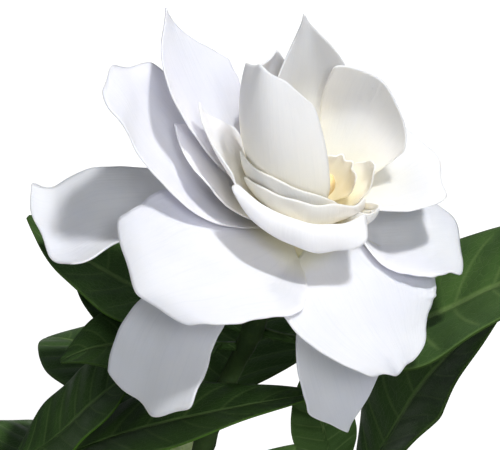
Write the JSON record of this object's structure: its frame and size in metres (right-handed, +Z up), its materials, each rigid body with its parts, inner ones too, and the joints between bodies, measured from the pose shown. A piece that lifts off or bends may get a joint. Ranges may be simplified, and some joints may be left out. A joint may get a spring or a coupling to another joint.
{
  "type": "potted gardenia",
  "caption": "Potted gardenia shrub: one open double white flower with curled petals on a leaning shoot above glossy pointed leaves, rooted in a tapered clay pot.",
  "frame": {"origin": "centre of the underside of the pot, where it stands on the ground", "axes": "+Z up along the pot's axis towards the flower, -Y towards the side that the open flower faces, +X to the right as seen from that side"},
  "size_m": [0.2075, 0.1776, 0.3538],
  "materials": {
    "petal_white": "satin, cool white",
    "petal_cream": "satin, cream",
    "stigma_yellow": "matt, orange yellow",
    "leaf_green": "glossy dark green",
    "calyx_green": "satin green",
    "bud_green": "satin pale green",
    "stem_bark": "matt bark",
    "clay": "matt unglazed clay",
    "soil": "rough dark soil"
  },
  "bodies": {
    "root": {"bud": "bud_green", "calyx": "calyx_green", "corolla_tube": "petal_cream", "leaf_01": "leaf_green", "leaf_02": "leaf_green", "leaf_03": "leaf_green", "leaf_04": "leaf_green", "leaf_05": "leaf_green", "leaf_06": "leaf_green", "leaf_07": "leaf_green", "leaf_08": "leaf_green", "leaf_09": "leaf_green", "leaf_10": "leaf_green", "leaf_11": "leaf_green", "leaf_12": "leaf_green", "leaf_13": "leaf_green", "leaf_14": "leaf_green", "leaf_15": "leaf_green", "leaf_16": "leaf_green", "leaf_17": "leaf_green", "leaf_18": "leaf_green", "leaf_19": "leaf_green", "leaf_20": "leaf_green", "leaf_21": "leaf_green", "leaf_22": "leaf_green", "leaf_23": "leaf_green", "petal_core_1": "petal_cream", "petal_core_3": "petal_cream", "petal_core_4": "petal_cream", "petal_inner_1": "petal_white", "petal_inner_2": "petal_white", "petal_inner_3": "petal_white", "petal_inner_4": "petal_white", "petal_inner_5": "petal_white", "petal_inner_6": "petal_white", "petal_inner_7": "petal_white", "petal_inner_8": "petal_white", "petal_middle_1": "petal_white", "petal_middle_2": "petal_white", "petal_middle_3": "petal_white", "petal_middle_4": "petal_white", "petal_middle_5": "petal_white", "petal_middle_6": "petal_white", "petal_middle_7": "petal_white", "petal_outer_1": "petal_white", "petal_outer_2": "petal_white", "petal_outer_3": "petal_white", "petal_outer_4": "petal_white", "petal_outer_5": "petal_white", "petal_outer_6": "petal_white", "pot": "clay", "soil": "soil", "stem_back": "stem_bark", "stem_left": "stem_bark", "stem_main": "stem_bark", "stem_right": "stem_bark", "stigma": "stigma_yellow"}
  },
  "joints": []
}
